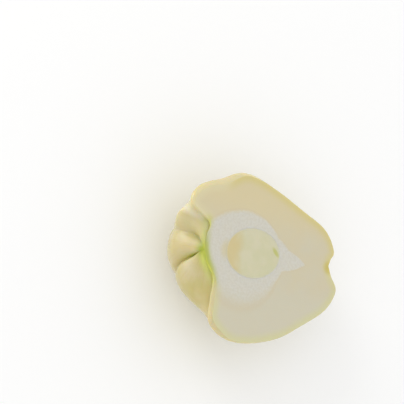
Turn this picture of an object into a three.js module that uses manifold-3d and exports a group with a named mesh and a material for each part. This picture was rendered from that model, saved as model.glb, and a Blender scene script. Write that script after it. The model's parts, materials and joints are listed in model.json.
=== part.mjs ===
// Half of a chayote squash, cut lengthwise through its seed and lying on its rounded back.
//
// The fruit is drawn in its own frame. X runs along the fruit from the puckered blossom end to the
// stem end, Y runs across the cut face, and the cut face is the plane Z = 0 with the fruit below it.
// A place on the skin is given by a station, 0 at the pucker and 1 at the stem scar, and by a
// longitude, 0 at the upper edge of the cut, 90 down the middle of the back and 180 at the lower edge.
// The fruit is then leaned to the angle at which the half settles, and stood on the floor.

import * as THREE from "three";
import { mergeVertices } from "three/addons/utils/BufferGeometryUtils.js";
import Module from "manifold-3d";

const wasm = await Module();
wasm.setup();

// Driving dimensions, in millimetres and degrees.

// Three outlines of the skin from the pucker to the stem scar, each a smooth curve through points
// of [distance along the fruit, distance from its axis].
const UPPER_OUTLINE = [
  [-36.4, 0], [-35.6, 8], [-34.8, 17], [-48.6, 27.3], [-42, 37], [-24.6, 42.5], [-8, 46.5],
  [14.2, 39.3], [33.5, 30.2], [51.5, 20.5], [59.6, 9], [57.6, 3.5], [56.4, 0],
];
const BACK_OUTLINE = [
  [-36.4, 0], [-40.8, 5], [-45.6, 11.5], [-46.2, 18.8], [-39.2, 29.4], [-21.5, 41.5], [-2, 45],
  [18, 41.5], [37, 33], [53, 22.5], [60.5, 11], [58, 4.5], [56.4, 0],
];
const LOWER_OUTLINE = [
  [-36.4, 0], [-33, 8], [-28, 19], [-27.5, 31], [-27.2, 41.5], [-16.5, 48.5], [0, 50.2],
  [20, 46.4], [40, 36.5], [56.5, 25.5], [63, 14], [59, 6], [56.4, 0],
];

// Between the outlines the back gains on the sides as a power of the sine of the longitude. The low
// power near the pucker makes the lips of the cleft rise steeply from the cut.
const BLEND_POWER = { pucker: 1, body: 2, changesFrom: 0.22, changesTo: 0.45 };

// Folds that part the swollen lobes of the blossom end, each with its longitude and its depth. The
// longitudes are whole facets of the skin, so that a row of edges runs along the bottom of each fold.
const BLOSSOM_FOLDS = [
  { longitude: 9, depth: 3.4 },
  { longitude: 63, depth: 3 },
  { longitude: 117, depth: 5 },
  { longitude: 174, depth: 3.6 },
];
const BLOSSOM_RISE = { from: 0.02, to: 0.14 };
const BLOSSOM_FADE = { from: 0.22, to: 0.5 };
// A faint share of each fold runs on along the body as a shallow groove.
const GROOVE_SHARE = 0.1;
const GROOVE_FADE = { from: 0.6, to: 0.95 };

// Small puckers round the stem scar.
const STEM_FOLDS = [
  { longitude: 27, depth: 1.8 },
  { longitude: 75, depth: 2.4 },
  { longitude: 117, depth: 1.6 },
  { longitude: 159, depth: 2.2 },
];
const STEM_RISE = { from: 0.55, to: 0.88 };
const STEM_FADE = { from: 0.93, to: 1 };

// Near the pucker the upper folds gather towards the cut, so that they meet the cleft one by one. The
// turn is greatest half way to this longitude.
const GATHER = { degrees: 34, longitude: 114, from: 0.02, to: 0.34 };
// Along the body the lobes spread away from the cut: beyond this station, longitudes turn by so many
// degrees for a whole fruit's length, the most in the middle of each side.
const SPREAD = { degrees: 24, from: 0.28 };

// Cheeks of the back that are flatter than the rest, or fuller where the depth is negative. Each
// spreads so many degrees round one longitude and reaches so far from one station, and the last
// degrees before the cut fade out.
const CHEEKS = [
  { longitude: 157, spread: 46, station: 0.44, reach: 0.21, depth: 8.2, edge: 17 },
  { longitude: 26, spread: 40, station: 0.36, reach: 0.19, depth: 5.2, edge: 22 },
  { longitude: 36, spread: 27, station: 0.19, reach: 0.13, depth: -3.2, edge: 10 },
];

const SEED = { length: 38.8, width: 28, depth: 17, x: -0.2, y: 1.5 };
const SEED_GAP = 0.3;

// The half lies with its stem end low, on a small flat pressed into its back.
const LEAN = 10;
const REST_FLAT_DEPTH = 0.6;

// Facets of the skin along the fruit and once right round it, and of the seed.
const SKIN_FACETS = { along: 64, around: 120 };
const SEED_FACETS = { along: 16, around: 40 };
const CUTTER_SIZE = 400;

const { degToRad, smoothstep } = THREE.MathUtils;
const sum = (values) => values.reduce((total, value) => total + value, 0);

function curveThrough(outline) {
  return new THREE.SplineCurve(outline.map(([along, out]) => new THREE.Vector2(along, out)));
}

const upperCurve = curveThrough(UPPER_OUTLINE);
const backCurve = curveThrough(BACK_OUTLINE);
const lowerCurve = curveThrough(LOWER_OUTLINE);

// How far the skin sinks below the crests of the lobes that a row of folds parts. Each lobe is round
// like a pillow, so that the folds between them are sharp. The folds mirror beyond the cut.
function sinkBetweenLobes(folds, longitude) {
  const first = folds[0];
  const last = folds[folds.length - 1];
  const beforeFirst = { longitude: -first.longitude, depth: first.depth };
  const afterLast = { longitude: 360 - last.longitude, depth: last.depth };
  const ring = [beforeFirst, ...folds, afterLast];
  const next = ring.findIndex((fold) => fold.longitude > longitude);
  const near = ring[next - 1];
  const far = ring[next];
  const share = (longitude - near.longitude) / (far.longitude - near.longitude);
  const roundness = Math.sqrt(Math.max(0, 4 * share * (1 - share)));
  return (1 - roundness) * THREE.MathUtils.lerp(near.depth, far.depth, share);
}

function sinkOfCheek(cheek, station, longitude) {
  const across = (longitude - cheek.longitude) / cheek.spread;
  const along = (station - cheek.station) / cheek.reach;
  const fromCut = Math.min(longitude, 180 - longitude);
  const swell = (1 - Math.min(1, across ** 2)) ** 2 * (1 - Math.min(1, along ** 2)) ** 2;
  return cheek.depth * swell * smoothstep(fromCut, 0, cheek.edge);
}

function sinkOfSkin(station, longitude) {
  const blossomReach =
    smoothstep(station, BLOSSOM_RISE.from, BLOSSOM_RISE.to) *
    ((1 - GROOVE_SHARE) * (1 - smoothstep(station, BLOSSOM_FADE.from, BLOSSOM_FADE.to)) +
      GROOVE_SHARE * (1 - smoothstep(station, GROOVE_FADE.from, GROOVE_FADE.to)));
  const stemReach =
    smoothstep(station, STEM_RISE.from, STEM_RISE.to) *
    (1 - smoothstep(station, STEM_FADE.from, STEM_FADE.to));
  return (
    blossomReach * sinkBetweenLobes(BLOSSOM_FOLDS, longitude) +
    stemReach * sinkBetweenLobes(STEM_FOLDS, longitude) +
    sum(CHEEKS.map((cheek) => sinkOfCheek(cheek, station, longitude)))
  );
}

function turnOfLongitude(station, longitude) {
  const gathered =
    Math.sin(Math.PI * Math.min(1, longitude / GATHER.longitude)) *
    (1 - smoothstep(station, GATHER.from, GATHER.to));
  const spread = Math.sin(degToRad(2 * longitude)) * Math.max(0, station - SPREAD.from);
  return SPREAD.degrees * spread - GATHER.degrees * gathered;
}

// A place on the skin of the back. The front beyond the cut mirrors it.
function skinPoint(station, longitude) {
  const angle = degToRad(longitude + turnOfLongitude(station, longitude));
  const side = Math.cos(angle) > 0 ? upperCurve : lowerCurve;
  const power = THREE.MathUtils.lerp(
    BLEND_POWER.pucker,
    BLEND_POWER.body,
    smoothstep(station, BLEND_POWER.changesFrom, BLEND_POWER.changesTo),
  );
  const backShare = Math.abs(Math.sin(angle)) ** power;
  const place = side.getPoint(station).lerp(backCurve.getPoint(station), backShare);
  const point = new THREE.Vector3(
    place.x,
    place.y * Math.cos(angle),
    -place.y * Math.sin(angle),
  );
  return point.setLength(point.length() - sinkOfSkin(station, longitude));
}

// A sphere whose rows become stations and whose columns become longitudes.
function wholeFruit() {
  const geometry = new THREE.SphereGeometry(1, SKIN_FACETS.around, SKIN_FACETS.along);
  const { position, uv } = geometry.attributes;
  for (let i = 0; i < position.count; i += 1) {
    const around = 360 * THREE.MathUtils.clamp(uv.getX(i), 0, 1);
    const front = around > 180;
    const point = skinPoint(1 - uv.getY(i), front ? 360 - around : around);
    position.setXYZ(i, point.x, point.y, front ? -point.z : point.z);
  }
  return geometry;
}

function seedShape(margin) {
  return new THREE.SphereGeometry(1, SEED_FACETS.around, SEED_FACETS.along)
    .rotateX(Math.PI / 2)
    .scale(SEED.length / 2 + margin, SEED.width / 2 + margin, SEED.depth / 2 + margin)
    .translate(SEED.x, SEED.y, 0);
}

function solidFrom(geometry) {
  const bare = geometry.clone();
  bare.deleteAttribute("normal");
  bare.deleteAttribute("uv");
  const merged = mergeVertices(bare);
  return new wasm.Manifold(
    new wasm.Mesh({
      numProp: 3,
      vertProperties: merged.attributes.position.array,
      triVerts: new Uint32Array(merged.index.array),
    }),
  );
}

function geometryFrom(solid) {
  const { vertProperties, triVerts } = solid.getMesh();
  const geometry = new THREE.BufferGeometry();
  geometry.setAttribute("position", new THREE.BufferAttribute(vertProperties, 3));
  geometry.setIndex(new THREE.BufferAttribute(triVerts, 1));
  geometry.computeVertexNormals();
  return geometry;
}

function block() {
  return new THREE.BoxGeometry(CUTTER_SIZE, CUTTER_SIZE, CUTTER_SIZE);
}

const lean = degToRad(LEAN);

// The lowest the skin reaches once the fruit is leaned.
function lowestPoint(geometry) {
  const leaned = geometry.clone().rotateY(lean);
  leaned.computeBoundingBox();
  return leaned.boundingBox.min.z;
}

const fruit = wholeFruit();
const aboveCut = solidFrom(block().translate(0, 0, CUTTER_SIZE / 2));
const fruitHalf = solidFrom(fruit).subtract(aboveCut);
const restHeight = lowestPoint(geometryFrom(fruitHalf)) + REST_FLAT_DEPTH;
const belowRest = solidFrom(
  block()
    .translate(0, 0, restHeight - CUTTER_SIZE / 2)
    .rotateY(-lean),
);
const fleshSolid = fruitHalf.subtract(belowRest).subtract(solidFrom(seedShape(SEED_GAP)));
const seedSolid = solidFrom(seedShape(0)).subtract(aboveCut);

const flesh = new THREE.Mesh(
  geometryFrom(fleshSolid),
  new THREE.MeshStandardMaterial({ color: 0xd3c79a, roughness: 0.38, metalness: 0 }),
);
flesh.name = "flesh_half";

const seed = new THREE.Mesh(
  geometryFrom(seedSolid),
  new THREE.MeshStandardMaterial({ color: 0xcdc9a7, roughness: 0.5, metalness: 0 }),
);
seed.name = "seed_half";

const leaned = new THREE.Group();
leaned.rotation.y = lean;
leaned.add(flesh, seed);

const chayoteHalf = new THREE.Group();
chayoteHalf.add(leaned);
const bounds = new THREE.Box3().setFromObject(chayoteHalf, true);
const centre = bounds.getCenter(new THREE.Vector3());
leaned.position.set(-centre.x, -centre.y, -bounds.min.z);

export default chayoteHalf;
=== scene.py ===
"""Looks of a halved chayote squash: its folded skin, its moist cut face and its flat seed."""

import functools
import json
import math

import bmesh
import bpy
from mathutils import Color, Matrix, Vector, kdtree, noise


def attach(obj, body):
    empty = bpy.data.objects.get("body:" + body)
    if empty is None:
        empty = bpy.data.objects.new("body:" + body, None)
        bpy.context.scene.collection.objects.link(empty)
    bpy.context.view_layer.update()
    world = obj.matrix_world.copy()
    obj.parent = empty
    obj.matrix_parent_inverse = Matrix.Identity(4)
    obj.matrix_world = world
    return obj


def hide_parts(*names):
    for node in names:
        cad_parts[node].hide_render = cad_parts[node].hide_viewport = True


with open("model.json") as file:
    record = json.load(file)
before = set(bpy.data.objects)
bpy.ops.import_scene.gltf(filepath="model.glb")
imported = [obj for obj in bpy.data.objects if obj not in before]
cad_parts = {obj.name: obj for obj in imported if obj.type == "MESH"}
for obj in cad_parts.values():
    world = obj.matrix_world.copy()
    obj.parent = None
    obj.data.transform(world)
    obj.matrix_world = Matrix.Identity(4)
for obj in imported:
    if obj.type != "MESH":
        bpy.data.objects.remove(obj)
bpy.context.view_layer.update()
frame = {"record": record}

# The fruit's own frame, in millimetres: X along the fruit from the puckered blossom end to the stem
# end, Y across the cut, and the cut face at Z = 0 with the fruit below it. A place on the skin has a
# station, 0 at the pucker and 1 at the stem scar, and a longitude, 0 at the upper edge of the cut,
# 90 down the middle of the back and 180 at the lower edge.
MM = 0.001

# Outlines of the skin from the pucker to the stem scar: distance along the fruit and from its axis.
UPPER_OUTLINE = (
    (-36.4, 0), (-35.6, 8), (-34.8, 17), (-48.6, 27.3), (-42, 37), (-24.6, 42.5), (-8, 46.5),
    (14.2, 39.3), (33.5, 30.2), (51.5, 20.5), (59.6, 9), (57.6, 3.5), (56.4, 0),
)
BACK_OUTLINE = (
    (-36.4, 0), (-40.8, 5), (-45.6, 11.5), (-46.2, 18.8), (-39.2, 29.4), (-21.5, 41.5), (-2, 45),
    (18, 41.5), (37, 33), (53, 22.5), (60.5, 11), (58, 4.5), (56.4, 0),
)
LOWER_OUTLINE = (
    (-36.4, 0), (-33, 8), (-28, 19), (-27.5, 31), (-27.2, 41.5), (-16.5, 48.5), (0, 50.2),
    (20, 46.4), (40, 36.5), (56.5, 25.5), (63, 14), (59, 6), (56.4, 0),
)
# The back gains on the sides as a power of the longitude's sine, which changes between two stations.
BLEND_POWER_AT_PUCKER = 1
BLEND_POWER_ON_BODY = 2
BLEND_CHANGES = (0.22, 0.45)

# Folds that part the lobes, each with its longitude and its depth, and the stations between which they
# rise and fade. A faint share of each blossom fold runs on along the body as a groove.
BLOSSOM_FOLDS = ((9, 3.4), (63, 3), (117, 5), (174, 3.6))
BLOSSOM_RISE = (0.02, 0.14)
BLOSSOM_FADE = (0.22, 0.5)
GROOVE_SHARE = 0.1
GROOVE_FADE = (0.6, 0.95)
STEM_FOLDS = ((27, 1.8), (75, 2.4), (117, 1.6), (159, 2.2))
STEM_RISE = (0.55, 0.88)
STEM_FADE = (0.93, 1)
DEEPEST_FOLD = 5
FOLD_SOFTNESS = 0.12

# Near the pucker the folds gather towards the cut, and along the body they spread away from it.
GATHER_DEGREES = 34
GATHER_LONGITUDE = 114
GATHER_FADE = (0.02, 0.34)
SPREAD_DEGREES = 24
SPREAD_FROM = 0.28

# Cheeks of the back that are flatter than the rest, or fuller where the depth is negative.
CHEEKS = (
    {"longitude": 157, "spread": 46, "station": 0.44, "reach": 0.21, "depth": 8.2, "edge": 17},
    {"longitude": 26, "spread": 40, "station": 0.36, "reach": 0.19, "depth": 5.2, "edge": 22},
    {"longitude": 36, "spread": 27, "station": 0.19, "reach": 0.13, "depth": -3.2, "edge": 10},
)

# The seed fills its socket to a hair, so that no gap shows. Its cut edge is a little lower than its
# face.
SEED_CENTRE = Vector((-0.2, 1.5, 0))
SEED_HALF = Vector((19.6, 14.2, 8.7))
SEED_EDGE_DROP = 0.01
SOCKET_GAP = 0.02

# Facets of the skin and of the seed, and how near the cut a vertex counts as on it.
STATIONS = 176
LONGITUDES = 360
SEED_ROUND = 160
SEED_DEEP = 48
SNAP = 1e-6

# Unevenness of the living skin: heights and sizes in millimetres.
LUMP_HEIGHT = 0.45
LUMP_SIZE = 22
RIPPLE_HEIGHT = 0.10
RIPPLE_SIZE = 5

# The skin rolls over into the cut: how wide the roll is, and how much wider on the two lips that swell
# beside the cleft, each between two stations.
ROLL_WIDTH = 0.5
UPPER_LIP = {"width": 3.4, "rise": (0.1, 0.24), "fade": (0.4, 0.56)}
LOWER_LIP = {"width": 2.6, "rise": (0.06, 0.16), "fade": (0.34, 0.48)}

# Painted highlight on the upper flanks of the lobes, where the light falls, given as a pale colour: a
# station and a longitude, how far it spreads in each, and how strong it is.
PAINTED_HIGHLIGHT_SPOTS = (
    (0.24, 19, 0.06, 11, 0.8), (0.21, 40, 0.07, 14, 0.3), (0.19, 70, 0.06, 8, 0.08),
    (0.16, 135, 0.06, 14, 0.42),
)

# The cut face: narrow rings beside its edge, rings that run in to the seed's socket, and rings down the
# socket's wall. The knife's slight waves begin a little way in from the edge.
EDGE_RINGS = (0.3, 0.8, 1.5, 2.4)
FACE_RINGS = 34
SOCKET_RINGS = 10
WAVE_HEIGHT = 0.12
WAVE_SIZE = 16
WAVE_RISE = (0, 4)
CUT_MATERIAL = 1

# How far the white core reaches from the seed's centre, by angle in degrees, and how softly it ends.
CORE_REACH = (
    (-40, 22.9, 4), (-20, 23.5, 3), (-4, 39, 4), (9, 26.3, 3), (30, 20.5, 3), (57, 20.4, 3),
    (88, 22, 4), (121, 26.5, 6), (142, 31.6, 7), (158, 37, 6), (180, 44, 6), (206, 36, 8),
    (221, 32, 16), (240, 30, 24), (276, 26, 22), (320, 22.9, 6),
)
# The green stain follows the bottom of the cleft: places along it, with how strong it is at each. It
# also creeps from the pucker into the folds, fading over so many stations.
CLEFT_LINE = (
    (-35, 22, 0), (-34.5, 17, 0.6), (-34.7, 12, 0.45), (-35.8, 6, 0.6), (-36.6, 0, 1), (-34, -6, 0.85),
    (-30.5, -11, 0.75), (-27, -17, 0.5), (-25.5, -23, 0.15), (-25, -30, 0),
)
CLEFT_STAIN_WIDTH = 4.6
CLEFT_STAIN_ENDS = -18
FOLD_STAIN = 1.3
FOLD_STAIN_REACH = 0.16
# A tan stain in the stem's notch.
NOTCH_PLACE = Vector((56.4, -1, 0))
NOTCH_STAIN_WIDTH = 4.4
# Oval spots on the cut face: a green streak on the seed, and a tan glow beside its blunt end. They are
# so deep that only their length and width count.
SEED_STREAK = {"middle": (16.4, 3.6), "turn": math.radians(-46), "half_size": (4.6, 1.7)}
SEED_GLOW = {"middle": (-19.5, 1.7), "turn": 0, "half_size": (6, 7)}
SPOT_DEPTH = 100

# The picture: the photograph is 404 pixels square, and the middle of the fruit's frame is at this
# pixel in it. The view leans this far from square on to the cut face, towards the blossom end.
PICTURE_SIDE = 404
FRUIT_PIXEL = (253.2, 256)
MM_PER_PIXEL = 0.57
VIEW_LEAN = math.radians(39)
VIEW_ROLL = math.radians(6)
CAMERA_DISTANCE = 6
SENSOR_WIDTH = 36

# Streaks of the skin: how finely their noise changes round the back and along the fruit, and how much
# more they stand up than the grain does. The bump is in millimetres.
STREAKS_AROUND = 26
STREAKS_ALONG = 3
STREAK_RELIEF = 1.5
BUMP_DISTANCE = 0.3
# How strong the darker trace round the core is, how far fibres fray the core's edge, and how far the
# edge of the seed's tan end wanders, in millimetres. A noise swings round its middle.
TRACE_STRENGTH = 0.3
CORE_FRAYING = 0.5
TAN_WANDER = 8
NOISE_MIDDLE = 0.5
# Sockets of the Mix node for colours: the share, the colour under and the colour over, and the result.
MIX_SHARE, MIX_UNDER, MIX_OVER = 0, 6, 7
MIX_RESULT = 2

# The studio, in metres and watts. Each lamp's direction is a mix of the view's own directions.
KEY_LIGHT = {"right": -0.3, "up": 0.75, "towards": 0.55, "size": 0.9, "watts": 9}
SIDE_LIGHT = {"right": -0.72, "up": 0.55, "towards": 0.4, "size": 0.6, "watts": 4}
LIGHT_DISTANCE = 2.2
SURROUND_STRENGTH = 0.97
WHITE = (1, 1, 1, 1)
FLOOR_RADIUS = 3
FLOOR_SIDES = 96
FLOOR_COLOUR = (0.95, 0.95, 0.945, 1)


def cut_frame():
    """Turns millimetres in the fruit's frame into metres in the room, from the cut face's mount."""
    mount = next(m for m in frame["record"]["mounts"] if m["name"] == "cut_face")
    normal = Vector(mount["axis"]).normalized()
    across = Vector((0, 1, 0))
    along = across.cross(normal)
    turn = Matrix((along, across, normal)).transposed().to_4x4()
    return Matrix.Translation(mount["pos_m"]) @ turn @ Matrix.Scale(MM, 4)


FRUIT_TO_ROOM = cut_frame()


def smoothstep(low, high, value):
    share = min(max((value - low) / (high - low), 0), 1)
    return share * share * (3 - 2 * share)


def blend(start, end, share):
    return start + (end - start) * share


def between(rows, value):
    """The two rows that a value lies between, by their first numbers, and its share of the way."""
    near, far = next(pair for pair in zip(rows, rows[1:]) if value <= pair[1][0])
    return near, far, (value - near[0]) / (far[0] - near[0])


@functools.lru_cache(maxsize=None)
def on_outline(points, station):
    """A place on a smooth curve through the points, as distance along the fruit and from its axis."""
    last = len(points) - 1
    index = min(int(station * last), last - 1)
    weight = station * last - index
    before = Vector(points[max(index - 1, 0)])
    start = Vector(points[index])
    end = Vector(points[index + 1])
    after = Vector(points[min(index + 2, last)])
    leave = (end - before) / 2
    arrive = (after - start) / 2
    bend = (2 * start - 2 * end + leave + arrive) * weight**3
    bend += (3 * end - 3 * start - 2 * leave - arrive) * weight**2
    return bend + leave * weight + start


@functools.lru_cache(maxsize=None)
def sink_between_lobes(folds, longitude):
    """How far the skin sinks below the crests of the lobes, each round like a pillow."""
    first, last = folds[0], folds[-1]
    ring = ((-first[0], first[1]), *folds, (360 - last[0], last[1]))
    near, far, share = between(ring, longitude)
    height = max(0, 4 * share * (1 - share))
    roundness = height**2 * (1 + FOLD_SOFTNESS) / (height**1.5 + FOLD_SOFTNESS)
    return (1 - roundness) * blend(near[1], far[1], share)


def blossom_sink(station, longitude):
    fold_share = 1 - smoothstep(*BLOSSOM_FADE, station)
    groove_share = 1 - smoothstep(*GROOVE_FADE, station)
    reach = smoothstep(*BLOSSOM_RISE, station) * blend(fold_share, groove_share, GROOVE_SHARE)
    return reach * sink_between_lobes(BLOSSOM_FOLDS, longitude)


def stem_sink(station, longitude):
    reach = smoothstep(*STEM_RISE, station) * (1 - smoothstep(*STEM_FADE, station))
    return reach * sink_between_lobes(STEM_FOLDS, longitude)


def fold_sink(station, longitude):
    return blossom_sink(station, longitude) + stem_sink(station, longitude)


def cheek_sink(cheek, station, longitude):
    across = (longitude - cheek["longitude"]) / cheek["spread"]
    along = (station - cheek["station"]) / cheek["reach"]
    from_cut = min(longitude, 180 - longitude)
    swell = (1 - min(1, across**2)) ** 2 * (1 - min(1, along**2)) ** 2
    return cheek["depth"] * swell * smoothstep(0, cheek["edge"], from_cut)


def turn_of_longitude(station, longitude):
    gathered = math.sin(math.pi * min(1, longitude / GATHER_LONGITUDE))
    gathered *= 1 - smoothstep(*GATHER_FADE, station)
    spread = math.sin(math.radians(2 * longitude)) * max(0, station - SPREAD_FROM)
    return SPREAD_DEGREES * spread - GATHER_DEGREES * gathered


def skin_point(station, longitude):
    """The place on the fruit's skin at a station and a longitude."""
    angle = math.radians(longitude + turn_of_longitude(station, longitude))
    side = UPPER_OUTLINE if math.cos(angle) > 0 else LOWER_OUTLINE
    body_share = smoothstep(*BLEND_CHANGES, station)
    power = blend(BLEND_POWER_AT_PUCKER, BLEND_POWER_ON_BODY, body_share)
    back_share = abs(math.sin(angle)) ** power
    place = on_outline(side, station).lerp(on_outline(BACK_OUTLINE, station), back_share)
    point = Vector((place.x, place.y * math.cos(angle), -place.y * math.sin(angle)))
    sink = fold_sink(station, longitude)
    sink += sum(cheek_sink(cheek, station, longitude) for cheek in CHEEKS)
    return point * (1 - sink / point.length)


def living_unevenness(point):
    """Soft lumps and fine ripples of the skin, as a height in millimetres."""
    lump = LUMP_HEIGHT * noise.noise(point / LUMP_SIZE)
    return lump + RIPPLE_HEIGHT * noise.noise(point / RIPPLE_SIZE)


def cut_wave(point):
    """The slight unevenness that the knife left, in millimetres."""
    return WAVE_HEIGHT * noise.noise(Vector((point.x, point.y, 0)) / WAVE_SIZE)


def on_seed_outline(point, margin):
    """The place on the seed's outline, widened by a margin, that lies towards a point."""
    out = Vector((point.x, point.y, 0)) - SEED_CENTRE
    stretch = math.hypot(out.x / (SEED_HALF.x + margin), out.y / (SEED_HALF.y + margin))
    return SEED_CENTRE + out / stretch


def lip_width(lip, station):
    return lip["width"] * smoothstep(*lip["rise"], station) * (1 - smoothstep(*lip["fade"], station))


def roll_over(point, station, longitude):
    """Draws skin that is near the cut inwards, so that it rolls over into the cut face."""
    lip = UPPER_LIP if longitude < 90 else LOWER_LIP
    width = ROLL_WIDTH + lip_width(lip, station)
    share = max(0, 1 + point.z / width)
    flat = Vector((point.x, point.y, 0))
    return point + (step_to_socket(flat, width) - flat) * share**2


def core_share(point):
    """How much a place on the cut face belongs to the white core, from 0 to 1."""
    out = point - SEED_CENTRE
    angle = math.degrees(math.atan2(out.y, out.x))
    if angle < CORE_REACH[0][0]:
        angle += 360
    near, far, share = between(CORE_REACH, angle)
    reach = blend(near[1], far[1], share)
    fade = blend(near[2], far[2], share)
    return 1 - smoothstep(reach - fade / 2, reach + fade / 2, math.hypot(out.x, out.y))


def cleft_stain(point):
    """How green a place is from the stain along the cleft, from 0 to 1."""
    strongest = 0
    if point.x > CLEFT_STAIN_ENDS:
        return strongest
    for near, far in zip(CLEFT_LINE, CLEFT_LINE[1:]):
        start = Vector((near[0], near[1], 0))
        run = Vector((far[0], far[1], 0)) - start
        share = min(max((point - start).dot(run) / run.length_squared, 0), 1)
        away = (point - start - run * share).length
        strength = blend(near[2], far[2], share) * math.exp(-((away / CLEFT_STAIN_WIDTH) ** 2))
        strongest = max(strongest, strength)
    return strongest


def fold_stain(station, sink):
    """How green a fold is near the pucker, from 0 to 1."""
    return min(FOLD_STAIN * sink / DEEPEST_FOLD * math.exp(-((station / FOLD_STAIN_REACH) ** 2)), 1)


def notch_stain(point):
    return math.exp(-(((point - NOTCH_PLACE).length / NOTCH_STAIN_WIDTH) ** 2))


def painted_highlight(station, longitude):
    """How much painted highlight lies on a place of the skin, from 0 to 1."""
    most = 0
    for at_station, at_longitude, along, around, strength in PAINTED_HIGHLIGHT_SPOTS:
        away = math.hypot((station - at_station) / along, (longitude - at_longitude) / around)
        most = max(most, strength * math.exp(-(away**2)))
    return most


def add_ring(bm, edges, move, **settings):
    """Grows a ring of faces from a loop of edges, and moves its new vertices."""
    grown = bmesh.ops.extrude_edge_only(bm, edges=edges)["geom"]
    for vert in (part for part in grown if isinstance(part, bmesh.types.BMVert)):
        vert.co = move(vert.co, **settings)
    faces = [part for part in grown if isinstance(part, bmesh.types.BMFace)]
    loop = [part for part in grown if isinstance(part, bmesh.types.BMEdge) and part.is_boundary]
    return loop, faces


def step_to_socket(point, step):
    return point + (on_seed_outline(point, SOCKET_GAP) - point).normalized() * step


def part_way_to_socket(point, share):
    return point.lerp(on_seed_outline(point, SOCKET_GAP), share)


def down_socket_wall(point, angle):
    lip = on_seed_outline(point, SOCKET_GAP)
    place = SEED_CENTRE + (lip - SEED_CENTRE) * math.cos(angle)
    place.z = -(SEED_HALF.z + SOCKET_GAP) * math.sin(angle)
    return place


def step_onto_seed(point, step):
    place = point + (SEED_CENTRE - point).normalized() * step
    place.z = 0
    return place


def part_way_over_seed(point, share):
    return point.lerp(SEED_CENTRE, share)


def edge_steps():
    """The steps from each narrow ring beside a cut's edge to the next."""
    return [inset - reached for reached, inset in zip((0, *EDGE_RINGS), EDGE_RINGS)]


def piece_from(bm, name, materials):
    """Puts a bmesh that is in the fruit's frame into the room as a finished piece."""
    bm.normal_update()
    bmesh.ops.recalc_face_normals(bm, faces=bm.faces)
    bmesh.ops.transform(bm, matrix=FRUIT_TO_ROOM, verts=bm.verts)
    for vert in bm.verts:
        vert.co.z = max(vert.co.z, 0)
    for face in bm.faces:
        face.smooth = True
    mesh = bpy.data.meshes.new(name)
    bm.to_mesh(mesh)
    bm.free()
    piece = bpy.data.objects.new(name, mesh)
    bpy.context.collection.objects.link(piece)
    for material in materials:
        mesh.materials.append(material)
    return piece


def half_ball(columns, rows, cut_normal):
    """The half of a ball that a cut through its middle leaves on the side that the normal points to."""
    bm = bmesh.new()
    bmesh.ops.create_uvsphere(bm, u_segments=columns, v_segments=rows, radius=1)
    everything = bm.verts[:] + bm.edges[:] + bm.faces[:]
    bmesh.ops.bisect_plane(
        bm, geom=everything, dist=SNAP, plane_co=(0, 0, 0), plane_no=cut_normal, clear_inner=True
    )
    return bm


def half_skin():
    """The skin of the back half, open at the cut, with what its patterns follow kept on its vertices."""
    bm = half_ball(LONGITUDES, STATIONS, cut_normal=(0, 1, 0))
    layers = {}
    for name in ("station", "longitude", "fold", "painted_highlight", "edge", "core", "stain", "notch"):
        layers[name] = bm.verts.layers.float.new(name)
    for vert in bm.verts:
        station = math.acos(min(max(vert.co.z, -1), 1)) / math.pi
        longitude = abs(math.degrees(math.atan2(vert.co.y, vert.co.x)))
        point = skin_point(station, longitude)
        sink = fold_sink(station, longitude)
        vert[layers["station"]] = station
        vert[layers["longitude"]] = longitude / 180
        vert[layers["fold"]] = min(sink / DEEPEST_FOLD, 1)
        vert[layers["painted_highlight"]] = painted_highlight(station, longitude)
        vert[layers["edge"]] = -point.z
        vert[layers["stain"]] = max(cleft_stain(point), fold_stain(station, sink))
        vert[layers["notch"]] = notch_stain(point)
        point += point.normalized() * living_unevenness(point)
        point.z = min(point.z, 0)
        vert.co = roll_over(point, station, longitude)
    return bm, layers


def close_cut(bm, rim):
    """Fills the cut with rings of faces from its rim to the seed's socket and down the socket's wall."""
    cut_faces = []
    loop = rim
    for step in edge_steps():
        loop, faces = add_ring(bm, loop, step_to_socket, step=step)
        cut_faces += faces
    for rings_left in range(FACE_RINGS, 0, -1):
        loop, faces = add_ring(bm, loop, part_way_to_socket, share=1 / rings_left)
        cut_faces += faces
    for edge in loop:
        edge.smooth = False
    for ring in range(1, SOCKET_RINGS):
        loop, faces = add_ring(bm, loop, down_socket_wall, angle=math.pi / 2 * ring / SOCKET_RINGS)
        cut_faces += faces
    return cut_faces + bmesh.ops.contextual_create(bm, geom=loop)["faces"]


def make_flesh():
    """The half fruit: its skin, and the cut face with the seed's socket."""
    bm, layers = half_skin()
    skin_verts = set(bm.verts)
    rim = [edge for edge in bm.edges if edge.is_boundary]
    rim_verts = {vert for edge in rim for vert in edge.verts}
    outline = kdtree.KDTree(len(rim_verts))
    for index, vert in enumerate(rim_verts):
        vert.co.z = 0
        outline.insert(vert.co, index)
    outline.balance()
    for face in close_cut(bm, rim):
        face.material_index = CUT_MATERIAL
    for vert in set(bm.verts) - skin_verts:
        place = Vector((vert.co.x, vert.co.y, 0))
        vert[layers["edge"]] = outline.find(place)[2]
        vert[layers["core"]] = core_share(place)
        vert[layers["stain"]] = cleft_stain(vert.co)
        vert[layers["notch"]] = notch_stain(vert.co)
        if vert.co.z == 0:
            vert.co.z = cut_wave(place) * smoothstep(*WAVE_RISE, vert[layers["edge"]])
    return piece_from(bm, "flesh_half_skin_and_cut", (skin_material(), flesh_material()))


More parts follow.
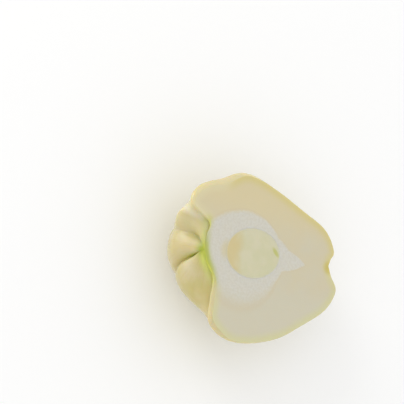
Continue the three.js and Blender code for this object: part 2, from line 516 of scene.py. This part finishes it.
def make_seed():
    """The cut seed: the lower half of a flat oval body, closed by its cut face."""
    bm = half_ball(SEED_ROUND, SEED_DEEP, cut_normal=(0, 0, -1))
    bmesh.ops.scale(bm, vec=SEED_HALF, verts=bm.verts)
    bmesh.ops.translate(bm, vec=SEED_CENTRE, verts=bm.verts)
    edge_layer = bm.verts.layers.float.new("edge")
    skin_verts = set(bm.verts)
    loop = [edge for edge in bm.edges if edge.is_boundary]
    for edge in loop:
        edge.smooth = False
        for vert in edge.verts:
            vert.co.z = -SEED_EDGE_DROP
    for step in edge_steps():
        loop, _ = add_ring(bm, loop, step_onto_seed, step=step)
    for rings_left in range(FACE_RINGS, 1, -1):
        loop, _ = add_ring(bm, loop, part_way_over_seed, share=1 / rings_left)
    bmesh.ops.contextual_create(bm, geom=loop)
    for vert in set(bm.verts) - skin_verts:
        vert[edge_layer] = (on_seed_outline(vert.co, 0) - vert.co).length
        vert.co.z = cut_wave(vert.co)
    return piece_from(bm, "seed_half_cut", (seed_material(),))


def paint(red, green, blue):
    """A shader colour from the red, green and blue of a screen, 0 to 255."""
    shade = Color((red / 255, green / 255, blue / 255)).from_srgb_to_scene_linear()
    return (*shade, 1)


def feed(tree, socket, value):
    """Links a socket to another one, or sets it to any other value."""
    if isinstance(value, bpy.types.NodeSocket):
        tree.links.new(value, socket)
    else:
        socket.default_value = value


def put(tree, kind, **inputs):
    """Adds a node and feeds its inputs by name."""
    made = tree.nodes.new(kind)
    for name, value in inputs.items():
        feed(tree, made.inputs[name.replace("_", " ")], value)
    return made


def kept_value(tree, name):
    """What the mesh keeps on its vertices under a name."""
    made = tree.nodes.new("ShaderNodeAttribute")
    made.attribute_name = name
    return made.outputs["Fac"]


def calculate(tree, operation, first, second):
    made = tree.nodes.new("ShaderNodeMath")
    made.operation = operation
    feed(tree, made.inputs[0], first)
    feed(tree, made.inputs[1], second)
    return made.outputs["Value"]


def slope(tree, value, low, high, least=0.0, most=1.0):
    """A soft step from the least to the most as the value goes from low to high."""
    made = put(tree, "ShaderNodeMapRange", Value=value, From_Min=low, From_Max=high)
    made.inputs["To Min"].default_value = least
    made.inputs["To Max"].default_value = most
    made.interpolation_type = "SMOOTHSTEP"
    return made.outputs["Result"]


def tint(tree, share, under, over):
    """Colour over colour, by a share from 0 to 1."""
    made = tree.nodes.new("ShaderNodeMix")
    made.data_type = "RGBA"
    feed(tree, made.inputs[MIX_SHARE], share)
    feed(tree, made.inputs[MIX_UNDER], under)
    feed(tree, made.inputs[MIX_OVER], over)
    return made.outputs[MIX_RESULT]


def wash(tree, under, over, value, low, high, most=1.0):
    """Colour over colour, up to a share that is reached as the value goes from low to high."""
    return tint(tree, slope(tree, value, low, high, most=most), under, over)


def plant_grain_group():
    """Soft patches and a fine grain, as grown plant flesh has, at sizes given in millimetres."""
    group = bpy.data.node_groups.new("plant_grain", "ShaderNodeTree")
    for name in ("Patch Size", "Grain Size"):
        group.interface.new_socket(name, in_out="INPUT", socket_type="NodeSocketFloat")
    for name in ("Patches", "Grain"):
        group.interface.new_socket(name, in_out="OUTPUT", socket_type="NodeSocketFloat")
    given = group.nodes.new("NodeGroupInput")
    result = group.nodes.new("NodeGroupOutput")
    place = group.nodes.new("ShaderNodeTexCoord").outputs["Object"]
    for size_name, detail, name in (("Patch Size", 3, "Patches"), ("Grain Size", 4, "Grain")):
        scale = calculate(group, "DIVIDE", 1 / MM, given.outputs[size_name])
        made = put(group, "ShaderNodeTexNoise", Vector=place, Scale=scale, Detail=detail)
        group.links.new(made.outputs["Fac"], result.inputs[name])
    return group


PLANT_GRAIN = plant_grain_group()


def grain(tree, patch_size, grain_size):
    made = tree.nodes.new("ShaderNodeGroup")
    made.node_tree = PLANT_GRAIN
    made.inputs["Patch Size"].default_value = patch_size
    made.inputs["Grain Size"].default_value = grain_size
    return made.outputs["Patches"], made.outputs["Grain"]


def fruit_place(tree):
    """The place in the fruit's own frame, as a vector in millimetres."""
    coordinate = tree.nodes.new("ShaderNodeTexCoord")
    made = put(tree, "ShaderNodeMapping", Vector=coordinate.outputs["Object"])
    made.vector_type = "TEXTURE"
    made.inputs["Location"].default_value = FRUIT_TO_ROOM.to_translation()
    made.inputs["Rotation"].default_value = FRUIT_TO_ROOM.to_euler()
    made.inputs["Scale"].default_value = (MM, MM, MM)
    return made.outputs["Vector"]


def from_spot(tree, spot):
    """How far a place is from an oval spot's middle, where 1 is the spot's outline."""
    made = put(tree, "ShaderNodeMapping", Vector=fruit_place(tree))
    made.vector_type = "TEXTURE"
    made.inputs["Location"].default_value = (*spot["middle"], 0)
    made.inputs["Rotation"].default_value = (0, 0, spot["turn"])
    made.inputs["Scale"].default_value = (*spot["half_size"], SPOT_DEPTH)
    away = put(tree, "ShaderNodeVectorMath", Vector=made.outputs["Vector"])
    away.operation = "LENGTH"
    return away.outputs["Value"]


def swing(tree, value, width):
    """How far a noise is from its middle, stretched to a width."""
    return calculate(tree, "MULTIPLY", calculate(tree, "SUBTRACT", value, NOISE_MIDDLE), width)


def new_material(name, **settings):
    """A material with its shader's constant values set on the shader itself."""
    material = bpy.data.materials.new(name)
    material.use_nodes = True
    shader = material.node_tree.nodes["Principled BSDF"]
    for socket, value in settings.items():
        shader.inputs[socket.replace("_", " ")].default_value = value
    return material, material.node_tree, shader


def finish_surface(tree, shader, colour, roughness, relief, bump_strength):
    """Feeds the shader its colour and roughness, and a fine bump from a relief."""
    tree.links.new(colour, shader.inputs["Base Color"])
    tree.links.new(roughness, shader.inputs["Roughness"])
    bump = put(tree, "ShaderNodeBump", Strength=bump_strength, Height=relief)
    bump.inputs["Distance"].default_value = BUMP_DISTANCE * MM
    tree.links.new(bump.outputs["Normal"], shader.inputs["Normal"])


SKIN_YELLOW = paint(195, 183, 118)
SKIN_CREAM = paint(203, 189, 138)
SKIN_STREAK = paint(190, 177, 98)
# The pale colour of the painted highlight on the upper flanks of the lobes.
SKIN_PAINTED_HIGHLIGHT = paint(226, 221, 196)
SKIN_NOTCH = paint(190, 176, 84)
# Painted light and shade in the folds: paler in the upper folds to lift their shade, darker olive in the
# lower ones as shade.
UPPER_FOLD_PAINTED_LIGHT = paint(222, 208, 146)
LOWER_FOLD_PAINTED_SHADE = paint(194, 174, 84)
# Pale skin beside the cut: the thin skin's own colour, and on the upper side partly a painted highlight.
UPPER_EDGE_AND_PAINTED_HIGHLIGHT = paint(211, 202, 160)
LOWER_EDGE = paint(200, 192, 148)
UPPER_GREEN = paint(182, 190, 70)
PUCKER_GREEN = paint(156, 168, 16)
# On the lower lip: painted shade on the crest of the green, and painted light in its crevice.
LIP_CREST_GREEN_PAINTED_SHADE = paint(176, 184, 56)
LIP_CREVICE_GREEN_PAINTED_LIGHT = paint(206, 212, 92)


def skin_streaks(tree, station, longitude):
    """A noise drawn out along the fruit, from 0 to 1."""
    around = calculate(tree, "MULTIPLY", longitude, STREAKS_AROUND)
    ahead = calculate(tree, "MULTIPLY", station, STREAKS_ALONG)
    place = put(tree, "ShaderNodeCombineXYZ", X=around, Y=ahead).outputs["Vector"]
    return put(tree, "ShaderNodeTexNoise", Vector=place, Scale=2, Detail=4).outputs["Fac"]


def cleft_green(tree, longitude, edge):
    """The stain's green on the skin: dark at the pucker, paler on the lips above and below it. On the
    lower lip the green is painted darker on the crest, as painted shade that damps its highlight, and
    paler in the crevice, as painted light that lifts its shadow.
    """
    upper = wash(tree, UPPER_GREEN, PUCKER_GREEN, longitude, low=0.1, high=0.4)
    lower = wash(tree, LIP_CREST_GREEN_PAINTED_SHADE, LIP_CREVICE_GREEN_PAINTED_LIGHT, edge, low=0.4, high=1.6)
    return wash(tree, upper, lower, longitude, low=0.7, high=0.95)


def skin_material():
    material, tree, shader = new_material(
        "chayote_skin", Subsurface_Weight=0.8, Subsurface_Scale=0.006,
        Subsurface_Radius=(1, 0.7, 0.3), Specular_IOR_Level=0.5, Coat_Weight=0.6, Coat_Roughness=0.26,
    )
    patches, fine = grain(tree, patch_size=14, grain_size=0.9)
    longitude = kept_value(tree, "longitude")
    edge = kept_value(tree, "edge")
    streaks = skin_streaks(tree, kept_value(tree, "station"), longitude)
    colour = wash(tree, SKIN_YELLOW, SKIN_CREAM, patches, low=0.35, high=0.65)
    colour = wash(tree, colour, SKIN_STREAK, streaks, low=0.5, high=0.75, most=0.35)
    # Painted light and shade in the folds: the upper folds are painted paler against their shade, the
    # lower ones darker as shade.
    fold_painted_light_and_shade = wash(tree, UPPER_FOLD_PAINTED_LIGHT, LOWER_FOLD_PAINTED_SHADE, longitude, low=0.4, high=0.6)
    colour = wash(tree, colour, fold_painted_light_and_shade, kept_value(tree, "fold"), low=0.3, high=0.95, most=0.7)
    # Painted highlight: pale patches on the upper flanks of the lobes, broken up by the grain.
    highlight_grain = slope(tree, fine, low=0.1, high=0.6, least=0.7)
    highlight_share = calculate(tree, "MULTIPLY", kept_value(tree, "painted_highlight"), highlight_grain)
    colour = tint(tree, highlight_share, colour, SKIN_PAINTED_HIGHLIGHT)
    # Pale skin beside the cut, partly its own colour and, on the upper lip's roll, partly a painted
    # highlight.
    edge_colour = wash(tree, UPPER_EDGE_AND_PAINTED_HIGHLIGHT, LOWER_EDGE, longitude, low=0.3, high=0.7)
    colour = wash(tree, colour, edge_colour, edge, low=4, high=0.3, most=0.85)
    green = cleft_green(tree, longitude, edge)
    colour = wash(tree, colour, green, kept_value(tree, "stain"), low=0.05, high=0.95)
    colour = wash(tree, colour, SKIN_NOTCH, kept_value(tree, "notch"), low=0.2, high=0.9, most=0.5)
    roughness = slope(tree, fine, low=0.3, high=0.7, least=0.34, most=0.46)
    relief = calculate(tree, "ADD", fine, calculate(tree, "MULTIPLY", streaks, STREAK_RELIEF))
    finish_surface(tree, shader, colour, roughness, relief, bump_strength=0.25)
    return material


FLESH_WARM = paint(206, 196, 166)
FLESH_COOL = paint(204, 197, 172)
FLESH_UPPER = paint(211, 198, 159)
FLESH_LOWER = paint(204, 198, 175)
FLESH_NOTCH = paint(200, 184, 100)
UPPER_RIM = paint(207, 194, 126)
# Pale rim of the upper lip: partly the flesh's own colour, partly a painted highlight on the rolled lip.
LIP_RIM_AND_PAINTED_HIGHLIGHT = paint(215, 206, 166)
LOWER_RIM = paint(206, 203, 154)
CORE_TRACE = paint(202, 186, 152)
CORE_DULL = paint(203, 199, 185)
CORE_WHITE = paint(208, 205, 193)
GLOW_TAN = paint(206, 193, 148)
FLESH_GREEN = paint(172, 180, 52)
FLESH_UPPER_GREEN = paint(194, 192, 104)


def add_core(tree, colour, place):
    """Lays the white fibrous core over the flesh, with a faint darker trace round it."""
    core = kept_value(tree, "core")
    fibres = put(tree, "ShaderNodeTexNoise", Vector=place, Scale=0.7, Detail=4).outputs["Fac"]
    ragged = calculate(tree, "ADD", core, swing(tree, fibres, CORE_FRAYING))
    outside = slope(tree, core, low=0.02, high=0.2)
    inside = slope(tree, core, low=0.55, high=0.25)
    trace = calculate(tree, "MULTIPLY", outside, inside)
    colour = tint(tree, calculate(tree, "MULTIPLY", trace, TRACE_STRENGTH), colour, CORE_TRACE)
    white = wash(tree, CORE_DULL, CORE_WHITE, fibres, low=0.35, high=0.65)
    return wash(tree, colour, white, ragged, low=0.1, high=0.95)


def flesh_material():
    material, tree, shader = new_material(
        "cut_chayote_flesh", Subsurface_Weight=0.3, Subsurface_Scale=0.004,
        Subsurface_Radius=(1, 0.8, 0.5), Specular_IOR_Level=0.4,
    )
    patches, fine = grain(tree, patch_size=18, grain_size=0.7)
    place = fruit_place(tree)
    apart = put(tree, "ShaderNodeSeparateXYZ", Vector=place)
    along = apart.outputs["X"]
    across = apart.outputs["Y"]
    colour = wash(tree, FLESH_WARM, FLESH_COOL, patches, low=0.3, high=0.7)
    colour = wash(tree, colour, FLESH_UPPER, across, low=6, high=34)
    colour = wash(tree, colour, FLESH_LOWER, across, low=-8, high=-26)
    # On the upper lip the rim is paler: partly its own colour, partly a painted highlight.
    upper_rim = wash(tree, UPPER_RIM, LIP_RIM_AND_PAINTED_HIGHLIGHT, along, low=-14, high=-26)
    rim_colour = wash(tree, LOWER_RIM, upper_rim, across, low=-25, high=20)
    colour = wash(tree, colour, rim_colour, kept_value(tree, "edge"), low=6, high=0.5, most=0.8)
    colour = add_core(tree, colour, place)
    colour = wash(tree, colour, GLOW_TAN, from_spot(tree, SEED_GLOW), low=1.1, high=0.2, most=0.7)
    green = wash(tree, FLESH_GREEN, FLESH_UPPER_GREEN, across, low=5, high=13)
    colour = wash(tree, colour, green, kept_value(tree, "stain"), low=0.1, high=0.85, most=0.9)
    colour = wash(tree, colour, FLESH_NOTCH, kept_value(tree, "notch"), low=0.15, high=0.9, most=0.9)
    roughness = slope(tree, fine, low=0.3, high=0.7, least=0.4, most=0.55)
    finish_surface(tree, shader, colour, roughness, fine, bump_strength=0.2)
    return material


SEED_CREAM = paint(203, 200, 164)
SEED_PALE = paint(208, 203, 172)
SEED_TAN = paint(207, 190, 138)
SEED_GREEN = paint(186, 187, 104)
# Painted light at the seed's edge, to lift the thin shade line round it.
SEED_RIM_PAINTED_LIGHT = paint(220, 215, 188)


def seed_material():
    material, tree, shader = new_material(
        "cut_chayote_seed", Subsurface_Weight=0.3, Subsurface_Scale=0.004,
        Subsurface_Radius=(1, 0.8, 0.5), Specular_IOR_Level=0.4,
    )
    patches, fine = grain(tree, patch_size=10, grain_size=0.6)
    along = put(tree, "ShaderNodeSeparateXYZ", Vector=fruit_place(tree)).outputs["X"]
    tan_place = calculate(tree, "ADD", along, swing(tree, patches, TAN_WANDER))
    colour = wash(tree, SEED_CREAM, SEED_PALE, patches, low=0.35, high=0.65)
    colour = wash(tree, colour, SEED_TAN, tan_place, low=-6, high=-15, most=0.85)
    colour = wash(tree, colour, SEED_GREEN, from_spot(tree, SEED_STREAK), low=1.1, high=0.3, most=0.85)
    # Painted light: the seed's edge is painted paler against the shade line round it.
    colour = wash(tree, colour, SEED_RIM_PAINTED_LIGHT, kept_value(tree, "edge"), low=0.9, high=0.1, most=0.6)
    roughness = slope(tree, fine, low=0.3, high=0.7, least=0.42, most=0.55)
    finish_surface(tree, shader, colour, roughness, fine, bump_strength=0.15)
    return material


def view_axes():
    """Right, up and towards the viewer in the room, as the photograph shows the fruit."""
    along = Vector((math.cos(VIEW_ROLL), math.sin(VIEW_ROLL), 0))
    up = Vector((-math.sin(VIEW_ROLL), math.cos(VIEW_ROLL), 0))
    out = Vector((0, 0, 1))
    right = along * math.cos(VIEW_LEAN) + out * math.sin(VIEW_LEAN)
    towards = out * math.cos(VIEW_LEAN) - along * math.sin(VIEW_LEAN)
    turn = FRUIT_TO_ROOM.to_3x3().normalized()
    return turn @ right, turn @ up, turn @ towards


def place_camera():
    right, up, towards = view_axes()
    aside = (PICTURE_SIDE / 2 - FRUIT_PIXEL[0]) * MM_PER_PIXEL * MM
    above = (FRUIT_PIXEL[1] - PICTURE_SIDE / 2) * MM_PER_PIXEL * MM
    target = FRUIT_TO_ROOM.to_translation() + right * aside + up * above
    data = bpy.data.cameras.new("camera")
    data.sensor_width = SENSOR_WIDTH
    data.lens = SENSOR_WIDTH * CAMERA_DISTANCE / (PICTURE_SIDE * MM_PER_PIXEL * MM)
    camera = bpy.data.objects.new("camera", data)
    turn = Matrix((right, up, towards)).transposed().to_4x4()
    camera.matrix_world = Matrix.Translation(target + towards * CAMERA_DISTANCE) @ turn
    bpy.context.collection.objects.link(camera)
    bpy.context.scene.camera = camera


def soft_light(name, light):
    """A square lamp that shines on the fruit."""
    right, up, towards = view_axes()
    direction = right * light["right"] + up * light["up"] + towards * light["towards"]
    data = bpy.data.lights.new(name, "AREA")
    data.size = light["size"]
    data.energy = light["watts"]
    lamp = bpy.data.objects.new(name, data)
    lamp.location = FRUIT_TO_ROOM.to_translation() + direction.normalized() * LIGHT_DISTANCE
    lamp.rotation_mode = "QUATERNION"
    lamp.rotation_quaternion = direction.to_track_quat("Z", "Y")
    bpy.context.collection.objects.link(lamp)


def light_studio():
    soft_light("key_light", KEY_LIGHT)
    soft_light("side_light", SIDE_LIGHT)
    world = bpy.data.worlds.new("studio")
    bpy.context.scene.world = world
    world.use_nodes = True
    surround = world.node_tree.nodes["Background"]
    surround.inputs["Color"].default_value = WHITE
    surround.inputs["Strength"].default_value = SURROUND_STRENGTH
    bpy.context.scene.view_settings.view_transform = "Standard"


def make_floor():
    bm = bmesh.new()
    bmesh.ops.create_circle(bm, cap_ends=True, segments=FLOOR_SIDES, radius=FLOOR_RADIUS)
    mesh = bpy.data.meshes.new("floor")
    bm.to_mesh(mesh)
    bm.free()
    floor = bpy.data.objects.new("floor", mesh)
    bpy.context.collection.objects.link(floor)
    material, _, _ = new_material(
        "pale_floor", Base_Color=FLOOR_COLOUR, Roughness=0.9, Specular_IOR_Level=0.1
    )
    mesh.materials.append(material)


place_camera()
light_studio()
make_floor()

flesh = make_flesh()
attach(flesh, "root")
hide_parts("flesh_half")

seed = make_seed()
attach(seed, "root")
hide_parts("seed_half")
